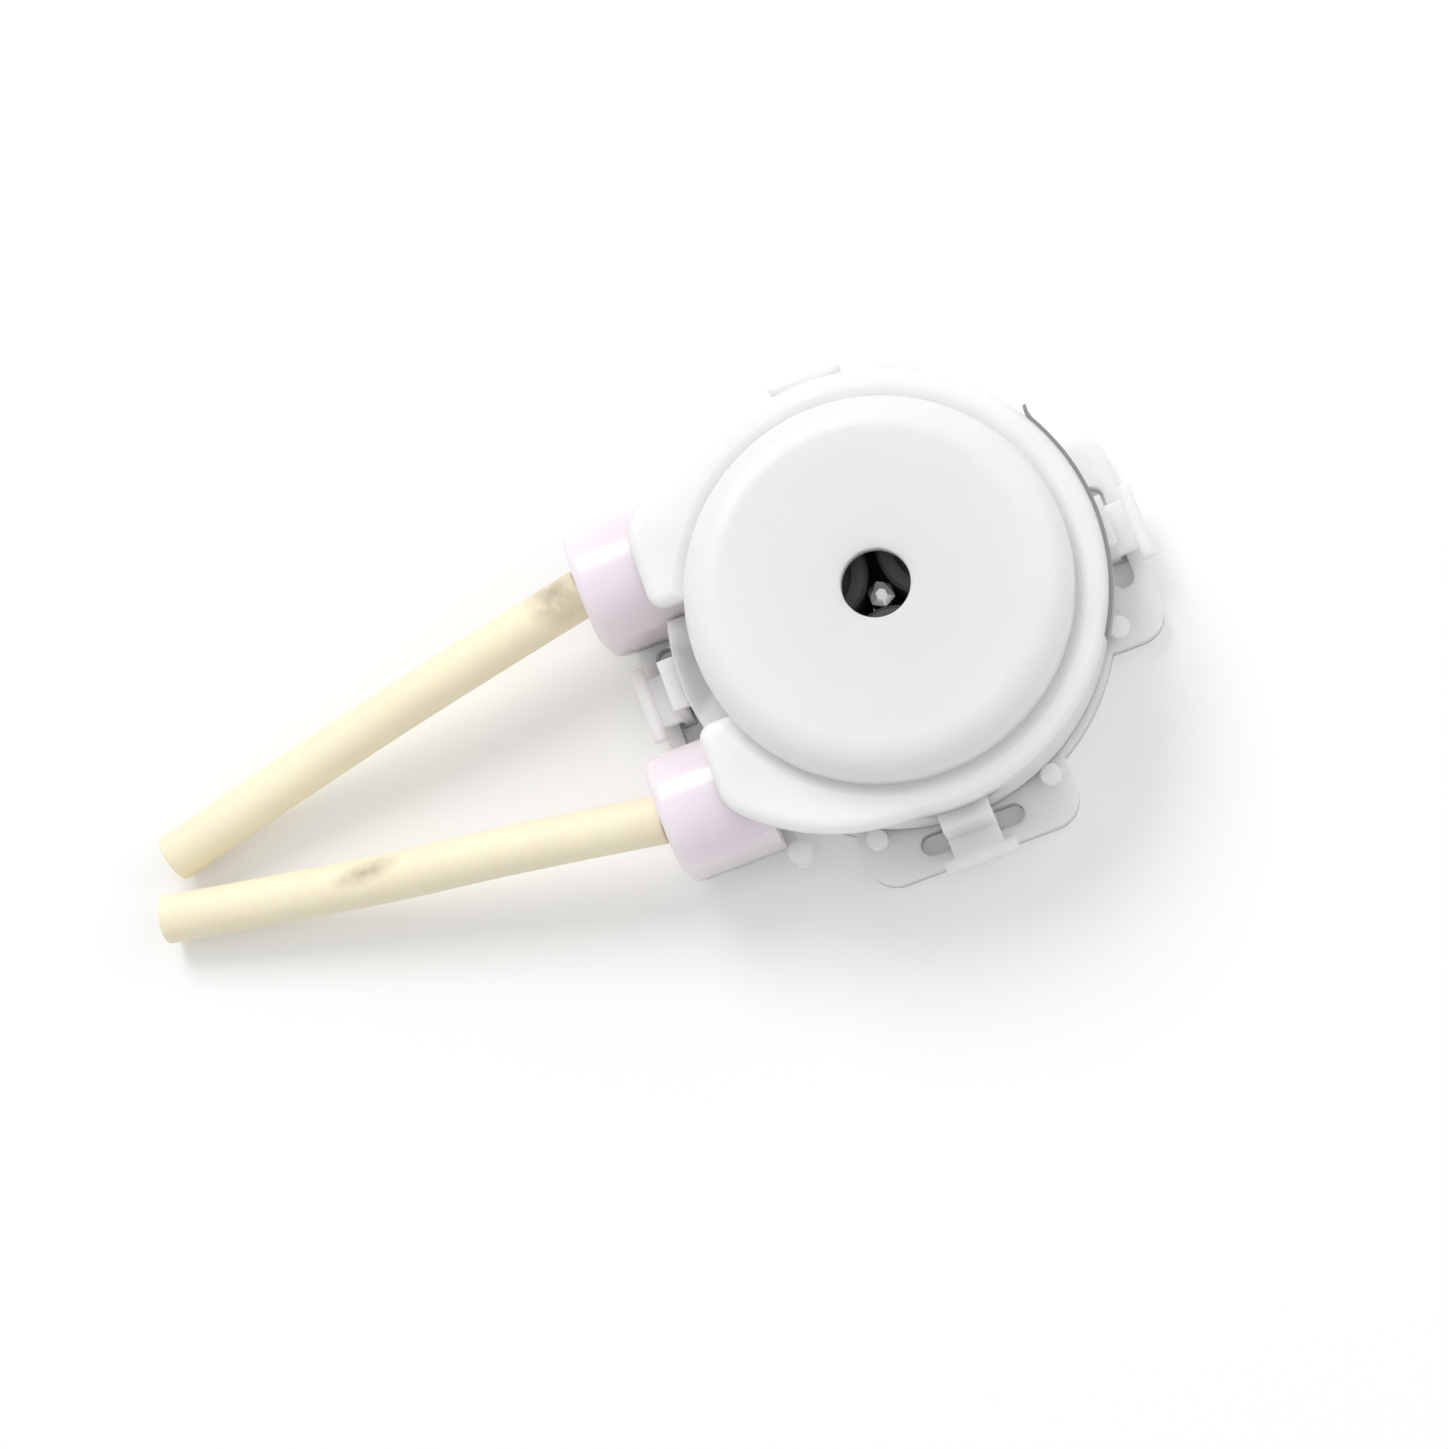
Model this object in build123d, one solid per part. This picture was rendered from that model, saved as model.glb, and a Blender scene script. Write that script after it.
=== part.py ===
"""Peristaltic pump head: three rollers, turned by friction from a central spindle, press a tube on a track.

The pump axis is Z, the domed front faces +Z and the tube leaves towards -X.
The origin is on the pump axis, at the back face of the mounting plate. Sizes are in millimetres.
"""

from build123d import *
from math import cos, hypot, pi, radians, sin, tan
import os

# ---------------------------------------------------------------- overall sizes
HEAD_R = 17.9  # radius of the cover's rim
DOME_RISE = 3.6  # height of the dome's top above the rim
ROLLER_COUNT = 3

# ---------------------------------------------------------------- pump tube and its squeeze
TUBE_OD = 4.0
TUBE_ID = 2.0
SQUEEZE = 1.7  # thickness of the tube where it is pressed on the track
RUN_GAP = 0.05  # running clearance between pieces that roll or turn on each other
TRACK_R = HEAD_R - 6.1  # radius of the track that the rollers press the tube against
LEG_Y = TRACK_R - TUBE_OD / 2  # the tube's two legs run at +LEG_Y and -LEG_Y
SQUEEZED_W = pi * (TUBE_OD + TUBE_ID) / 4 + (TUBE_OD - TUBE_ID) / 2  # width of the flattened tube

# ---------------------------------------------------------------- heights along the axis
PLATE_T = 2.0
FLOOR_T = 1.4
FLOOR_Z = PLATE_T + FLOOR_T
TRAY_T = 0.95  # trays under the collars
COLLAR_R = 4.95
COLLAR_GAP = 0.05  # between a collar and the cover's ear above it
RIM_T = 1.9
TRAY_TOP = PLATE_T + TRAY_T
TUBE_Z = TRAY_TOP + COLLAR_R  # the tube's centre line
HOUSING_TOP = TUBE_Z + COLLAR_R + COLLAR_GAP
RIM_TOP = HOUSING_TOP + RIM_T
DOME_TOP = RIM_TOP + DOME_RISE

# ---------------------------------------------------------------- rotor
SPINDLE_R = 1.15
SPINDLE_TAIL_R = 2.4
SPINDLE_TAPER = 2.2
MOTOR_SHAFT_R = 1.0
CARRIER_GAP = 0.2  # axial play beside each turning piece
CARRIER_T = 0.9
CARRIER_Z = FLOOR_Z + CARRIER_GAP
ROLLER_Z = CARRIER_Z + CARRIER_T + CARRIER_GAP
ROLLER_RISE = 1.0  # how far the rollers reach into the dome
ROLLER_TOP = HOUSING_TOP + ROLLER_RISE
ROLLER_EDGE = 0.3
FACE_WIDTH = 1.0  # flat ring round each roller end
END_RECESS = 0.7
HUB_R = 1.5
PIN_R = 0.75
PIN_FIT = 0.05
POST_R = 1.1
FRONT_RING_T = 1.0
INNER_TRACK = TRACK_R - SQUEEZE  # where the squeezed tube's inner face lies
ROLLER_R = (INNER_TRACK - SPINDLE_R) / 2 - RUN_GAP
ORBIT_R = SPINDLE_R + RUN_GAP + ROLLER_R
CARRIER_R = INNER_TRACK - 0.5
POST_ORBIT_R = CARRIER_R - POST_R - 0.1
RING_Z = ROLLER_TOP + CARRIER_GAP
RING_IN = ORBIT_R - PIN_R - 0.7
STEP_ANGLE = 360 / ROLLER_COUNT
FIRST_ROLLER_ANGLE = 25.0

# ---------------------------------------------------------------- shells
WALL_T = 1.4
WALL_R = HEAD_R - 0.4
FOOT_R = WALL_R - 0.2  # lower wall, inside the locating pegs
FOOT_H = 2.3
DOME_R = HEAD_R - 2.6
DOME_SHOULDER = 2.9
DOME_DISH = 0.4
SIGHT_HOLE_R = 2.75
GROOVE = 0.5
EAR_SHIFT = -4.0  # the ears' outer edges are an arc about this x
EAR_ARC_R = HEAD_R - 0.3
EAR_END_X = -(HEAD_R - 0.6)
EAR_CORNER_R = 3.0
EAR_GAP = 2 * LEG_Y - 9.6  # opening between the two ear tips
EAR_TIP_R = 1.3
RIM_ROUND = 0.9
SPIGOT_GAP = 0.1
SPIGOT_DEPTH = 1.6
RIB_COUNT = 12
RIB_T = 1.0
POCKET_IN = TRACK_R + WALL_T
POCKET_OUT = WALL_R - WALL_T

# ---------------------------------------------------------------- mounting plate and its latches
EAR_OUT = HEAD_R + 2.7
EAR_HALF = HEAD_R / 2
EAR_ROUND = 2.4
SLOT_R = HEAD_R + 0.5
SLOT_W = 1.8
SLOT_L = 8.8
STRIP_T = 1.0  # thickness of the strip that the latch teeth grip
PEG_R = 0.85
PEG_H = 1.6
PEG_ANGLE = 24.0
SCREW_SPACING = 16.0
SCREW_R = 1.1
SCREW_HEAD_R = 2.1
BOSS_R = 5.0
BOSS_DEPTH = 1.2
BUSH_R = 3.6
LATCH_ARM_W = 4.2
LATCH_BAR_W = 6.1
LATCH_T = 0.85
LATCH_OUT = HEAD_R + 3.6
LATCH_HINGE_R = WALL_R - 0.65
LATCH_HINGE_Z = 8.5
LATCH_BARREL_R = 0.4
LATCH_BARREL_L = LATCH_ARM_W + 1.6
LATCH_CLEAR = 0.06
LATCH_PLAY = 0.15
LATCH_LOW = 0.15
TOOTH = 0.35
TAB_Z = 3.0
TAB_T = 0.9
BAR_T = 1.1
BAR_H = 1.5

# ---------------------------------------------------------------- tube collars, spring and free tube
COLLAR_OUT_X = -22.5
COLLAR_L = 8.2
COLLAR_ROUND = 0.8
TRAY_END_X = -22.0
COLUMN_R = 0.95
COLUMN_X = -13.4
COLUMN_H = 4.2
SPRING_T = 0.3
SPRING_H = 2.6
SPRING_HALF_ANGLE = 32.0
SPRING_CURL_R = 0.5

UPPER_ROUTE = [
    (COLLAR_OUT_X, LEG_Y, TUBE_Z),
    (-33.0, 7.95, 7.1),
    (-46.5, 5.6, 4.75),
    (-62.0, 2.45, 2.25),
]
LOWER_ROUTE = [
    (COLLAR_OUT_X, -LEG_Y, TUBE_Z),
    (-33.5, -7.75, 7.0),
    (-48.0, -5.5, 4.6),
    (-64.1, -2.1, 2.25),
]


def disc(radius, z, height):
    """Upright cylinder on the pump axis, standing on height z."""
    return Pos(0, 0, z) * Cylinder(radius, height, align=(Align.CENTER, Align.CENTER, Align.MIN))


def post(x, y, radius, z, height):
    """Upright cylinder at x, y."""
    return Pos(x, y, 0) * disc(radius, z, height)


def ring(outer, inner, z, height):
    """Flat ring on the pump axis."""
    return disc(outer, z, height) - disc(inner, z, height)


def block(x0, x1, y0, y1, z0, z1):
    """Box between two corners."""
    return Pos(x0, y0, z0) * Box(x1 - x0, y1 - y0, z1 - z0, align=(Align.MIN, Align.MIN, Align.MIN))


def quarter_turns(shape):
    """The shape and its copies on the other three sides of the head."""
    return [Rot(0, 0, 90 * side) * shape for side in range(4)]


# ---------------------------------------------------------------- front cover
def rim_outline():
    """Round rim that runs into two ears over the tube collars."""
    ears = Pos(EAR_SHIFT, 0) * Circle(EAR_ARC_R)
    ears += Pos(EAR_SHIFT / 2, 0) * Rectangle(-EAR_SHIFT, 2 * EAR_ARC_R)
    beyond = Pos(EAR_END_X - HEAD_R, 0) * Rectangle(2 * HEAD_R, 3 * HEAD_R)
    ears = ears - beyond
    ears = fillet(ears.vertices().group_by(Axis.X)[0], EAR_CORNER_R)
    opening = Pos(EAR_END_X, 0) * Rectangle(2 * (HEAD_R - DOME_R) + 5, EAR_GAP)
    outline = (Circle(HEAD_R) + ears) - (opening - Circle(DOME_R))
    tips = [v for v in outline.vertices() if v.X < EAR_END_X + 0.1 and abs(v.Y) < EAR_GAP / 2 + 0.1]
    return fillet(tips, EAR_TIP_R)


def dome_profile():
    """Half section of the dome: side, broad shoulder and a shallow dished top with the sight hole."""
    flat_r = DOME_R - DOME_SHOULDER
    side_z = DOME_TOP - DOME_SHOULDER
    inner_r = DOME_R - WALL_T
    outer = [
        Line((DOME_R, HOUSING_TOP), (DOME_R, side_z)),
        RadiusArc((DOME_R, side_z), (flat_r, DOME_TOP), -DOME_SHOULDER),
        Line((flat_r, DOME_TOP), (SIGHT_HOLE_R, DOME_TOP - DOME_DISH)),
        Line((SIGHT_HOLE_R, DOME_TOP - DOME_DISH), (SIGHT_HOLE_R, DOME_TOP - DOME_DISH - WALL_T)),
    ]
    inner = [
        Line((SIGHT_HOLE_R, DOME_TOP - DOME_DISH - WALL_T), (flat_r, DOME_TOP - WALL_T)),
        RadiusArc((flat_r, DOME_TOP - WALL_T), (inner_r, side_z), DOME_SHOULDER - WALL_T),
        Line((inner_r, side_z), (inner_r, HOUSING_TOP)),
        Line((inner_r, HOUSING_TOP), (DOME_R, HOUSING_TOP)),
    ]
    return make_face(outer + inner)


def front_cover():
    """Domed cover with a rounded rim, two ears and a spigot that centres it in the housing."""
    rim = extrude(Pos(0, 0, HOUSING_TOP) * rim_outline(), RIM_TOP - HOUSING_TOP)
    rim = fillet(rim.faces().sort_by(Axis.Z)[-1].outer_wire().edges(), RIM_ROUND)
    rim -= disc(DOME_R - WALL_T, HOUSING_TOP, RIM_TOP)
    cover = rim + revolve(Plane.XZ * dome_profile(), Axis.Z)
    low, width = RIM_TOP - GROOVE, 2 * GROOVE
    groove = Polyline((DOME_R, RIM_TOP), (DOME_R, low), (DOME_R + 0.3 * width, low),
                      (DOME_R + width, RIM_TOP), close=True)
    cover -= revolve(Plane.XZ * make_face(groove), Axis.Z)
    spigot_r = POCKET_OUT - SPIGOT_GAP
    spigot = ring(spigot_r, spigot_r - WALL_T, HOUSING_TOP - SPIGOT_DEPTH, SPIGOT_DEPTH)
    spigot -= block(-HEAD_R, 0, -HEAD_R, HEAD_R, HOUSING_TOP - SPIGOT_DEPTH, HOUSING_TOP)
    return cover + spigot


# ---------------------------------------------------------------- race housing
def latch_window():
    """Window in the wall for one latch's web, with the two bearings of its hinge barrel."""
    half = LATCH_ARM_W / 2 + LATCH_PLAY
    high = LATCH_BARREL_R + LATCH_PLAY
    window = block(POCKET_OUT - 0.5, HEAD_R, -half, half, LATCH_HINGE_Z - high, LATCH_HINGE_Z + high)
    bearing = Pos(LATCH_HINGE_R, 0, LATCH_HINGE_Z) * Rot(90, 0, 0) * Cylinder(
        LATCH_BARREL_R + LATCH_CLEAR, LATCH_BARREL_L + 2 * LATCH_CLEAR)
    return window + bearing


def race_housing():
    """Body that holds the track, the two tube channels and the trays under the collars."""
    body = disc(FOOT_R, PLATE_T, FOOT_H) + disc(WALL_R, PLATE_T + FOOT_H, HOUSING_TOP - PLATE_T - FOOT_H)
    body -= disc(TRACK_R, FLOOR_Z, HOUSING_TOP)
    pocket = ring(POCKET_OUT, POCKET_IN, FLOOR_Z, HOUSING_TOP)
    rib_top = HOUSING_TOP - SPIGOT_DEPTH - SPIGOT_GAP
    for index in range(RIB_COUNT):
        turn = Rot(0, 0, (index + 0.5) * 360 / RIB_COUNT)
        pocket -= turn * block(POCKET_IN - 1, POCKET_OUT + 1, -RIB_T / 2, RIB_T / 2, 0, rib_top)
    pocket -= block(-HEAD_R, -POCKET_IN / 3, -HEAD_R, HEAD_R, 0, 2 * HOUSING_TOP)
    body -= pocket
    for side in (1, -1):
        y0, y1 = sorted((side * (LEG_Y - TUBE_OD / 2), side * TRACK_R))
        c0, c1 = side * LEG_Y - COLLAR_R, side * LEG_Y + COLLAR_R
        tray = block(TRAY_END_X, COLUMN_X, c0, c1, PLATE_T, TRAY_TOP)
        body += fillet(tray.edges().filter_by(Axis.Z).group_by(Axis.X)[0], COLLAR_ROUND)
        column_y = side * (LEG_Y + COLLAR_R + COLUMN_R + SPIGOT_GAP)
        wing = sorted((side * LEG_Y, column_y))
        body += block(COLUMN_X - COLUMN_R, COLUMN_X, wing[0], wing[1], PLATE_T, TRAY_TOP)
        body += post(COLUMN_X, column_y, COLUMN_R, PLATE_T, COLUMN_H)
        body -= block(-HEAD_R - 1, 0, y0, y1, TUBE_Z - SQUEEZED_W / 2 - SPIGOT_GAP, HOUSING_TOP + 1)
        body -= block(COLLAR_OUT_X, COLLAR_OUT_X + COLLAR_L, c0 - SPIGOT_GAP, c1 + SPIGOT_GAP,
                      TRAY_TOP, HOUSING_TOP + 1)
    body -= block(-HEAD_R, 1.5 - TRACK_R, -EAR_GAP / 2, EAR_GAP / 2, HOUSING_TOP - 3.4, HOUSING_TOP + 1)
    body -= disc(BUSH_R, 0, FLOOR_Z + 1)
    for window in quarter_turns(latch_window()):
        body -= window
    return body


def tube_collar(side):
    """Moulded collar on the tube, round above and square below, which keeps the tube from being pulled in."""
    y = side * LEG_Y
    barrel = Pos(COLLAR_OUT_X, y, TUBE_Z) * Rot(0, 90, 0) * Cylinder(
        COLLAR_R, COLLAR_L, align=(Align.CENTER, Align.CENTER, Align.MIN))
    base = block(COLLAR_OUT_X, COLLAR_OUT_X + COLLAR_L, y - COLLAR_R, y + COLLAR_R, TRAY_TOP, TUBE_Z)
    shape = barrel + base
    end = shape.faces().sort_by(Axis.X)[0]
    shape = fillet(end.edges(), COLLAR_ROUND)
    bore = Pos(COLLAR_OUT_X, side * LEG_Y, TUBE_Z) * Rot(0, 90, 0) * Cylinder(
        TUBE_OD / 2, COLLAR_L, align=(Align.CENTER, Align.CENTER, Align.MIN))
    return shape - bore


# ---------------------------------------------------------------- mounting plate
def mounting_plate():
    """Round plate with four slotted ears, locating pegs and two countersunk screw holes for the motor."""
    ears = Rectangle(2 * EAR_OUT, 2 * EAR_HALF) + Rectangle(2 * EAR_HALF, 2 * EAR_OUT)
    corners = [v for v in ears.vertices() if hypot(v.X, v.Y) > EAR_OUT]
    plate = extrude(Circle(HEAD_R) + fillet(corners, EAR_ROUND), PLATE_T)
    slot = extrude(Pos(SLOT_R, 0) * Rot(0, 0, 90) * SlotOverall(SLOT_L, SLOT_W), PLATE_T)
    rebate_half = LATCH_ARM_W / 2 + 0.3
    rebate = block(SLOT_R, SLOT_R + SLOT_W / 2 + TOOTH + 0.3, -rebate_half, rebate_half, 0, PLATE_T - STRIP_T)
    for cut in quarter_turns(slot) + quarter_turns(rebate):
        plate -= cut
    for side in (-90, 0, 90):  # the fourth side is under the tube collars
        for lean in (-PEG_ANGLE, PEG_ANGLE):
            turn = Rot(0, 0, side + lean)
            plate += turn * post(FOOT_R + PEG_R + SPIGOT_GAP, 0, PEG_R, PLATE_T, PEG_H)
    plate -= disc(BUSH_R, 0, PLATE_T)
    plate -= disc(BOSS_R, 0, BOSS_DEPTH)
    sink = SCREW_HEAD_R - SCREW_R
    for side in (1, -1):
        plate -= post(side * SCREW_SPACING / 2, 0, SCREW_R, 0, PLATE_T)
        plate -= Pos(side * SCREW_SPACING / 2, 0, PLATE_T - sink) * Cone(
            SCREW_R, SCREW_HEAD_R, sink, align=(Align.CENTER, Align.CENTER, Align.MIN))
    return plate


def latch():
    """Hook lever on the +X side: hinge barrel, web, arm, tooth under the plate's strip, finger bar."""
    inner, outer = SLOT_R - LATCH_T / 2, SLOT_R + LATCH_T / 2
    half = LATCH_ARM_W / 2
    web_z = LATCH_HINGE_Z - LATCH_BARREL_R
    barrel = Pos(LATCH_HINGE_R, 0, LATCH_HINGE_Z) * Rot(90, 0, 0) * Cylinder(LATCH_BARREL_R, LATCH_BARREL_L)
    web = block(LATCH_HINGE_R, outer, -half, half, web_z, web_z + 2 * LATCH_BARREL_R)
    arm = block(inner, outer, -half, half, LATCH_LOW, LATCH_HINGE_Z)
    low = PLATE_T - STRIP_T - 0.1
    tip = SLOT_R + SLOT_W / 2 + TOOTH
    tooth = Polyline((inner, low), (tip, low), (outer, LATCH_LOW), (inner, LATCH_LOW), close=True)
    hook = extrude(Plane.XZ * make_face(tooth), half, both=True)
    tab = block(inner, LATCH_OUT, -half, half, TAB_Z, TAB_Z + TAB_T)
    bar = block(LATCH_OUT - BAR_T, LATCH_OUT, -LATCH_BAR_W / 2, LATCH_BAR_W / 2, TAB_Z, TAB_Z + BAR_H)
    bar = chamfer(bar.edges().filter_by(Axis.Y), 0.3)
    return barrel + web + arm + hook + tab + bar


# ---------------------------------------------------------------- rotor
def roller():
    """Plain roller with a recessed front end and a bore, on the first pin's centre line."""
    height = ROLLER_TOP - ROLLER_Z
    shape = disc(ROLLER_R, ROLLER_Z, height)
    shape = chamfer(shape.edges().filter_by(GeomType.CIRCLE), ROLLER_EDGE)
    shape -= ring(ROLLER_R - ROLLER_EDGE - FACE_WIDTH, HUB_R, ROLLER_TOP - END_RECESS, END_RECESS)
    shape -= disc(PIN_R + PIN_FIT, ROLLER_Z, height)
    return Pos(ORBIT_R, 0, 0) * shape


def roller_pin():
    """Steel pin on which one roller turns."""
    pin = disc(PIN_R, CARRIER_Z, RING_Z + FRONT_RING_T - CARRIER_Z)
    return Pos(ORBIT_R, 0, 0) * chamfer(pin.edges().group_by(Axis.Z)[-1], 0.15)


def carrier(z, height, inner):
    """Disc or ring with a hole for each roller pin."""
    plate = ring(CARRIER_R, inner, z, height)
    for index in range(ROLLER_COUNT):
        plate -= Rot(0, 0, FIRST_ROLLER_ANGLE + index * STEP_ANGLE) * post(ORBIT_R, 0, PIN_R, z, height)
    return plate


def carrier_rear():
    """Rear disc of the rotor with its spacer posts."""
    shape = carrier(CARRIER_Z, CARRIER_T, SPINDLE_TAIL_R + 2 * PIN_FIT + CARRIER_GAP)
    for index in range(ROLLER_COUNT):
        turn = Rot(0, 0, FIRST_ROLLER_ANGLE + (index + 0.5) * STEP_ANGLE)
        shape += turn * post(POST_ORBIT_R, 0, POST_R, CARRIER_Z, RING_Z - CARRIER_Z)
    return shape


def drive_spindle():
    """Steel spindle: a tail bored for the motor's shaft, a slender neck and a six-sided tapered nose."""
    tail_z = BOSS_DEPTH + CARRIER_GAP
    tail_top = ROLLER_Z - CARRIER_GAP / 2
    nose_top = ROLLER_TOP - END_RECESS
    taper_z = nose_top - SPINDLE_TAPER
    tail = disc(SPINDLE_TAIL_R, tail_z, tail_top - tail_z)
    tail = chamfer(tail.edges().filter_by(GeomType.CIRCLE), 0.2)
    body = tail + disc(SPINDLE_R, tail_top, taper_z - tail_top)
    base = Pos(0, 0, taper_z) * RegularPolygon(SPINDLE_R, 6)
    tip = Pos(0, 0, nose_top) * RegularPolygon(SPINDLE_R * 0.35, 6)
    body += loft([base, tip])
    return body - disc(MOTOR_SHAFT_R, tail_z, tail_top - tail_z - 0.5)


def spindle_bush():
    """Plain bearing for the spindle's tail, seated in the mounting plate and the housing floor."""
    return ring(BUSH_R, SPINDLE_TAIL_R + RUN_GAP, BOSS_DEPTH, FLOOR_Z - BOSS_DEPTH)


# ---------------------------------------------------------------- tube, spring
def pump_tube():
    """Tube inside the head: flattened round the track, round again where it passes the collars."""
    middle = (TRACK_R + INNER_TRACK) / 2
    flat_x = -2.0
    flat = Ellipse(SQUEEZED_W / 2, SQUEEZE / 2)
    loop = revolve(Plane((0, -middle, TUBE_Z), x_dir=(0, 0, 1), z_dir=(1, 0, 0)) * flat, Axis.Z, 180)
    tube = loop
    for side in (1, -1):
        bend_end = Plane((0, side * middle, TUBE_Z), x_dir=(0, 0, 1), z_dir=(-1, 0, 0))
        start = Plane((flat_x, side * middle, TUBE_Z), x_dir=(0, 0, 1), z_dir=(-1, 0, 0))
        stop = Plane((-TRACK_R, side * LEG_Y, TUBE_Z), x_dir=(0, 0, 1), z_dir=(-1, 0, 0))
        straight = extrude(bend_end * flat, -flat_x)
        change = loft([start * flat, stop * Circle(TUBE_OD / 2)])
        leg = extrude(stop * Circle(TUBE_OD / 2), -TRACK_R - COLLAR_OUT_X)
        tube += straight + change + leg
    return tube


def band_spring():
    """Stainless leaf spring clasped round the rim on the side away from the tube, curled at its ends."""
    z = RIM_TOP - RIM_ROUND - SPRING_H
    reach = 2 * HEAD_R
    dx, dy = reach * cos(radians(SPRING_HALF_ANGLE)), reach * sin(radians(SPRING_HALF_ANGLE))
    wedge = Pos(0, 0, z) * make_face(Polyline((0, 0), (dx, -dy), (reach, 0), (dx, dy), close=True))
    band = ring(HEAD_R + SPRING_T, HEAD_R, z, SPRING_H) & extrude(wedge, SPRING_H)
    for side in (1, -1):
        turn = Rot(0, 0, side * SPRING_HALF_ANGLE)
        band += turn * post(HEAD_R + SPRING_CURL_R + RUN_GAP, 0, SPRING_CURL_R, z, SPRING_H)
    return band


def free_tube(route):
    """Free end of the tube, with its bore. Prints the bend radii of its path."""
    points = [Vector(*p) for p in route]
    radii = []
    for before, point, after in zip(points, points[1:], points[2:]):
        turn = radians((point - before).get_angle(after - point))
        run = min((point - before).length, (after - point).length)
        radii.append(0.45 * run / tan(turn / 2))
    path = FilletPolyline(*points, radius=radii)
    print("bend radii", [round(r, 1) for r in radii], "length", round(path.length, 2))
    start = Plane(origin=path @ 0, z_dir=path % 0)
    wall = sweep(start * (Circle(TUBE_OD / 2) - Circle(TUBE_ID / 2)), path=path)
    area = 3.14159 * (TUBE_OD**2 - TUBE_ID**2) / 4
    print("volume over section times length", round(wall.volume / (area * path.length), 4))
    return wall


# ---------------------------------------------------------------- write every piece
def pieces():
    """Every node's name and its solids."""
    made = {
        "front_cover": front_cover(),
        "race_housing": race_housing(),
        "mounting_plate": mounting_plate(),
        "tube_collar_upper": tube_collar(1),
        "tube_collar_lower": tube_collar(-1),
        "pump_tube": pump_tube(),
        "free_tube_upper": free_tube(UPPER_ROUTE),
        "free_tube_lower": free_tube(LOWER_ROUTE),
        "band_spring": band_spring(),
        "spindle_bush": spindle_bush(),
        "drive_spindle": drive_spindle(),
        "carrier_rear": carrier_rear(),
        "carrier_front": carrier(RING_Z, FRONT_RING_T, RING_IN),
    }
    for index in range(ROLLER_COUNT):
        turn = Rot(0, 0, FIRST_ROLLER_ANGLE + index * STEP_ANGLE)
        made[f"roller_{index + 1}"] = turn * roller()
        made[f"roller_pin_{index + 1}"] = turn * roller_pin()
    for name, shape in zip(("right", "top", "left", "bottom"), quarter_turns(latch())):
        made[f"latch_{name}"] = shape
    return made


os.makedirs("parts", exist_ok=True)
for name, shape in pieces().items():
    export_step(shape, f"parts/{name}.step")
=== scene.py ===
"""Peristaltic pump head with two free tube ends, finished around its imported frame.

Run as a script in Blender 4.5. Lengths are in metres, in the frame's own axes: Z runs along
the pump's axis, and the tubes leave the head towards -X.
"""

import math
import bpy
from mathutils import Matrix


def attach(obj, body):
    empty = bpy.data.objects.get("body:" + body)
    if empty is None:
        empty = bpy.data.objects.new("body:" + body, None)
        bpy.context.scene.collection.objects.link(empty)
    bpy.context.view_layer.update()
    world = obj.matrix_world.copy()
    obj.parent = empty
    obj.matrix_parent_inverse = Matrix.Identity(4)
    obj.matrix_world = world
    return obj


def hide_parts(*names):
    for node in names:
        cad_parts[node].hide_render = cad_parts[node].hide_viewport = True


bl_info = {
    "name": "Peristaltic Pump Head",
    "version": (1, 0, 0),
    "blender": (4, 5, 0),
    "location": "View3D > Sidebar > Pump Head",
    "description": "Models and finishes the pump head's moulded shells, tubes, rollers and studio",
    "category": "Add Mesh",
}

import bmesh
import bpy
from mathutils import Matrix, Vector

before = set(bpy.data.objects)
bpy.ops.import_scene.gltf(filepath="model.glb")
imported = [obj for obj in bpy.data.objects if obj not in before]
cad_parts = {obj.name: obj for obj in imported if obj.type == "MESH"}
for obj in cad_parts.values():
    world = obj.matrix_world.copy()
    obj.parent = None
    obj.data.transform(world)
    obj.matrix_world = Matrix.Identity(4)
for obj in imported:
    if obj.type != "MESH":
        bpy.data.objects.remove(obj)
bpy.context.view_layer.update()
MM = 0.001
WHITE = (1.0, 1.0, 1.0, 1.0)

# Each free tube's route from its collar to its cut end, in millimetres, and the centre and size
# of the darker patch painted on it: painted shade on the upper tube where it leaves its collar,
# and a darker mark on top of the lower tube.
TUBE_ROUTES = {
    "upper": [(-22.5, 9.8, 7.9), (-33.0, 7.95, 7.1), (-46.5, 5.6, 4.75), (-62.0, 2.45, 2.25)],
    "lower": [(-22.5, -9.8, 7.9), (-33.5, -7.75, 7.0), (-48.0, -5.5, 4.6), (-64.1, -2.1, 2.25)],
}
TUBE_PAINTED_SHADE_AND_MARK = {
    "upper": ((-0.0245, 0.0100, 0.0095), (0.0030, 0.0030, 0.0030)),
    "lower": ((-0.0468, -0.0050, 0.0070), (0.0034, 0.0011, 0.0018)),
}
ROUTE_STEPS = 24

# The spindle's turned outline below its neck, as radius and height in millimetres: from the
# closed end of the bore, down the bore, and up the outside of the tail.
SPINDLE_TAIL = [(0.0, 4.1), (1.0, 4.1), (1.0, 1.4), (2.2, 1.4), (2.4, 1.6), (2.4, 4.4), (2.2, 4.6)]
NECK_BOTTOM, NECK_TOP = 4.6, 10.9
NOSE_BOTTOM, NOSE_TOP = 10.7 * MM, 13.15 * MM
NOSE_SIDES = 6
NOSE_INSET = 0.62
NOSE_EDGE = 0.05 * MM

ROUND_STEPS = 48
FLARE_STEPS = 10
STRIP_EDGE = 0.15
SHARP_ANGLE = math.radians(60.0)
DOUBLES_DISTANCE = 0.001 * MM

# Scales of the noises, and the range of each noise that is spread out between none and all.
GLOSS_SCALE, GLOSS_RANGE = 140.0, (0.3, 0.7)
CLOUD_RANGE = (0.35, 0.65)
SPECK_SCALE, SPECK_RANGE, SPECK_TINT = 1600.0, (0.68, 0.78), (0.35, 0.33, 0.30, 1.0)
# Scale of the patchy noise and the dark tint of the tubes' patches: painted shade on the upper tube
# by its collar, and a darker mark on the lower tube.
DARK_PATCH_SCALE, DARK_PATCH_TINT = 900.0, (0.16, 0.14, 0.12, 1.0)
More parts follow.
